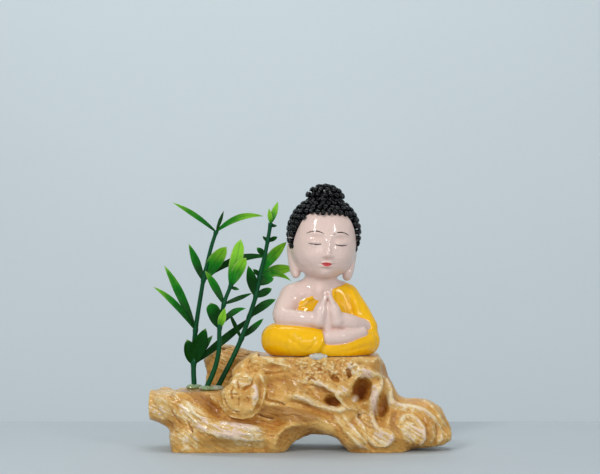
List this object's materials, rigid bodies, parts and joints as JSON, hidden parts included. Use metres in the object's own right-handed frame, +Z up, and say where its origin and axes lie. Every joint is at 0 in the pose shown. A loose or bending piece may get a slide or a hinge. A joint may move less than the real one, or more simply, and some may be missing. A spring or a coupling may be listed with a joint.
{
  "type": "seated buddha ornament",
  "caption": "Small seated buddha ornament: a glazed child-like praying figure on a cast driftwood base, beside green plastic sprigs.",
  "frame": {"origin": "bottom centre of the bounding box, on the table under the middle of the base", "axes": "+X along the base to the viewer's right, +Y away from the viewer, +Z up; the figure looks along -Y"},
  "size_m": [0.124, 0.046, 0.109],
  "materials": {
    "ochre_lacquer": "cast resin, ochre paint with a dark wash and pale dry-brushed ridges, satin lacquer",
    "glaze": "high-gloss glaze: pale pink skin, golden-yellow robe, black hair",
    "leaf_plastic": "moulded plastic, dark green stems and yellow-green leaf tips, semi-gloss",
    "set_glue": "set hot-melt glue, milky and translucent"
  },
  "bodies": {
    "root": {"driftwood_base": "ochre_lacquer", "buddha_figure": "glaze", "left_sprig": "leaf_plastic", "middle_sprig": "leaf_plastic", "right_sprig": "leaf_plastic", "left_glue_dab": "set_glue", "right_glue_dab": "set_glue"}
  },
  "joints": []
}
